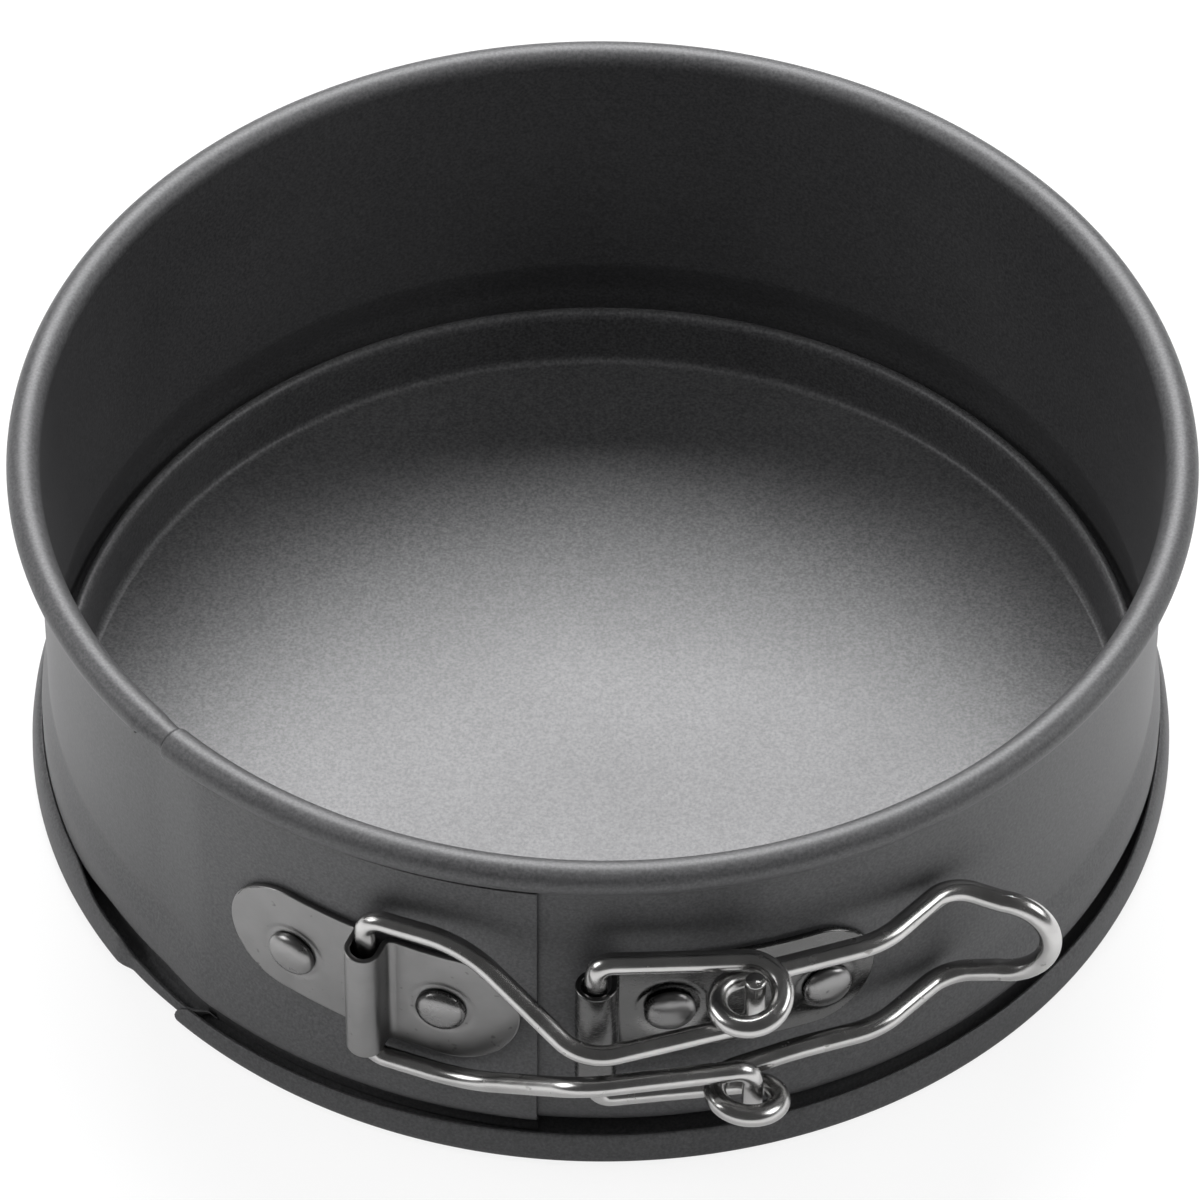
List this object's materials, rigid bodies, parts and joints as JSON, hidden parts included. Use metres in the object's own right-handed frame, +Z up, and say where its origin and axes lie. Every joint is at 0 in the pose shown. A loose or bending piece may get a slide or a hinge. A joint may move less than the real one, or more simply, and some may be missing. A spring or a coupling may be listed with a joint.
{
  "type": "springform cake pan",
  "caption": "Small round springform cake pan: an overlapping sheet band with rolled rim, a loose base plate held in its bead, and a wire over-centre latch.",
  "frame": {"origin": "centre of the base plate's flat underside", "axes": "+Z up through the open rim; the latch is on the -Y side, with its handle towards +X"},
  "size_m": [0.121, 0.1281, 0.0442],
  "materials": {
    "coated_steel": "satin non-stick coating with fine orange peel",
    "plated_strap": "bright plated sheet",
    "plated_wire": "bright plated wire",
    "rivet": "bright plated, smooth dome"
  },
  "bodies": {
    "ring_right": {"band_right": "coated_steel", "bracket_right": "plated_strap", "rivet_right_1": "rivet", "rivet_right_2": "rivet"},
    "ring_left": {"band_left": "coated_steel", "bracket_left": "plated_strap", "rivet_left_1": "rivet", "rivet_left_2": "rivet"},
    "link": {"link_wire": "plated_wire"},
    "lever": {"lever_wire": "plated_wire"},
    "base": {"base_plate": "coated_steel"}
  },
  "joints": [
    {"name": "lever_swing", "type": "hinge", "parent": "ring_right", "child": "lever", "pos_m": [-0.00033, -0.0612, 0.0228], "axis": [0, 0, -1], "range_deg": [0, 60]},
    {"name": "band_spring", "type": "hinge", "parent": "ring_right", "child": "ring_left", "pos_m": [0, 0.0606, 0.0228], "axis": [0, 0, -1], "range_deg": [0, 2]},
    {"name": "link_swing", "type": "hinge", "parent": "ring_left", "child": "link", "pos_m": [-0.0229, -0.0556, 0.0231], "axis": [0, 0, -1], "range_deg": [0, 20]},
    {"name": "base_lift", "type": "slide", "parent": "ring_right", "child": "base", "axis": [0, 0, 1], "range_m": [0, 0.06]}
  ],
  "couplings": [
    {"joint": "band_spring", "follows": "lever_swing", "ratio": 0.0313},
    {"joint": "link_swing", "follows": "lever_swing", "ratio": 0.3258}
  ]
}
